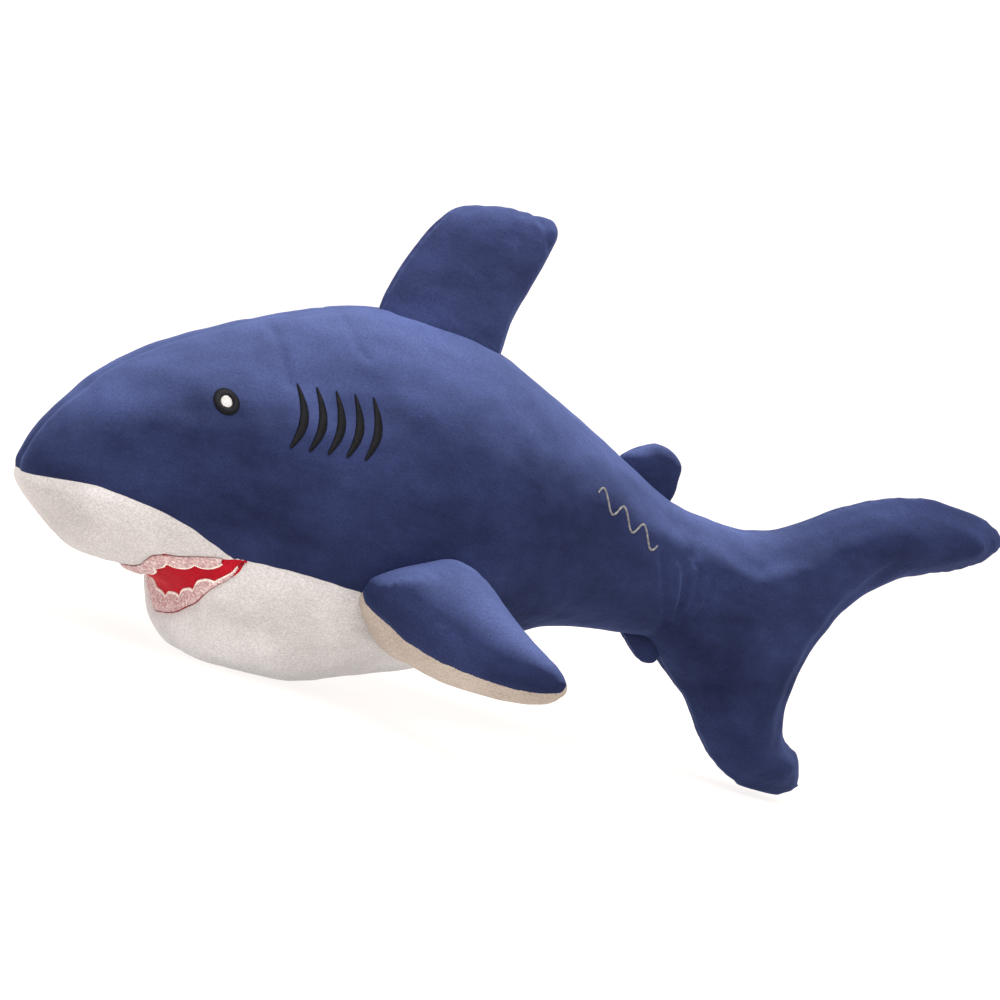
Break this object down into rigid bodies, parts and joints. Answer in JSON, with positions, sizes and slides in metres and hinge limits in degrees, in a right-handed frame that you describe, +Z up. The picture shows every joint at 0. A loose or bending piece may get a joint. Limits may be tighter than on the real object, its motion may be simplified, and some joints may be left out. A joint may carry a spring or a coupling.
{
  "type": "plush shark",
  "caption": "Plush shark in navy velvet with a white underside, an open red mouth with soft teeth, stitched eyes and gills, and stuffed fins and a forked tail that bend at their seams.",
  "frame": {"origin": "on the floor, below the middle of the bounding box's length and width", "axes": "-X towards the nose and +X towards the tail, +Z up, -Y out of the shark's left side and +Y out of its right side"},
  "size_m": [0.7982, 0.458, 0.3762],
  "materials": {
    "blue_velvet": "short-pile navy velvet, soft sheen, cloudy nap",
    "white_fabric": "short-pile warm white plush",
    "red_fabric": "matt red knitted lining",
    "tooth_fabric": "pinkish white felt, mottled, with cream stitched edges",
    "black_thread": "black satin stitch",
    "white_thread": "white satin stitch",
    "grey_thread": "pale grey stitched thread",
    "fibre": "loose white polyester filling, hidden"
  },
  "bodies": {
    "body": {"body_stuffing": "fibre", "left_side_panel": "blue_velvet", "right_side_panel": "blue_velvet", "upper_jaw_panel": "white_fabric", "belly_panel": "white_fabric", "mouth_lining": "red_fabric", "upper_teeth": "tooth_fabric", "lower_teeth": "tooth_fabric", "left_eye_ring": "black_thread", "left_eye_centre": "white_thread", "right_eye_ring": "black_thread", "right_eye_centre": "white_thread", "left_gill_1": "black_thread", "left_gill_2": "black_thread", "left_gill_3": "black_thread", "left_gill_4": "black_thread", "left_gill_5": "black_thread", "right_gill_1": "black_thread", "right_gill_2": "black_thread", "right_gill_3": "black_thread", "right_gill_4": "black_thread", "right_gill_5": "black_thread", "flank_motif": "grey_thread"},
    "tail": {"tail_stuffing": "fibre", "left_tail_panel": "blue_velvet", "right_tail_panel": "blue_velvet"},
    "dorsal_fin": {"dorsal_fin_stuffing": "fibre", "dorsal_fin_left_panel": "blue_velvet", "dorsal_fin_right_panel": "blue_velvet"},
    "second_dorsal_fin": {"second_dorsal_fin_stuffing": "fibre", "second_dorsal_fin_left_panel": "blue_velvet", "second_dorsal_fin_right_panel": "blue_velvet"},
    "anal_fin": {"anal_fin_stuffing": "fibre", "anal_fin_left_panel": "blue_velvet", "anal_fin_right_panel": "blue_velvet"},
    "left_pectoral_fin": {"left_pectoral_fin_stuffing": "fibre", "left_pectoral_fin_upper_panel": "blue_velvet", "left_pectoral_fin_lower_panel": "white_fabric"},
    "right_pectoral_fin": {"right_pectoral_fin_stuffing": "fibre", "right_pectoral_fin_upper_panel": "blue_velvet", "right_pectoral_fin_lower_panel": "white_fabric"}
  },
  "joints": [
    {"name": "tail_swing", "type": "hinge", "parent": "body", "child": "tail", "pos_m": [0.136, 0, 0.1511], "axis": [0, 0, 1], "range_deg": [-20, 20], "stiffness_Nm_per_rad": 2},
    {"name": "dorsal_lean", "type": "hinge", "parent": "body", "child": "dorsal_fin", "pos_m": [-0.13345, 0, 0.27343], "axis": [0.9997, 0, -0.0259], "range_deg": [-25, 25], "stiffness_Nm_per_rad": 0.6},
    {"name": "second_dorsal_lean", "type": "hinge", "parent": "body", "child": "second_dorsal_fin", "pos_m": [0.06768, 0, 0.21631], "axis": [0.9403, 0, -0.3404], "range_deg": [-25, 25], "stiffness_Nm_per_rad": 0.1},
    {"name": "anal_lean", "type": "hinge", "parent": "body", "child": "anal_fin", "pos_m": [0.10676, 0, 0.09845], "axis": [0.9917, 0, 0.1288], "range_deg": [-25, 25], "stiffness_Nm_per_rad": 0.1},
    {"name": "left_pectoral_flap", "type": "hinge", "parent": "body", "child": "left_pectoral_fin", "pos_m": [-0.129, -0.10595, 0.097], "axis": [-0.9237, 0, -0.383], "range_deg": [-20, 30], "stiffness_Nm_per_rad": 0.8},
    {"name": "right_pectoral_flap", "type": "hinge", "parent": "body", "child": "right_pectoral_fin", "pos_m": [-0.129, 0.10595, 0.097], "axis": [0.9237, 0, 0.383], "range_deg": [-20, 30], "stiffness_Nm_per_rad": 0.8}
  ]
}
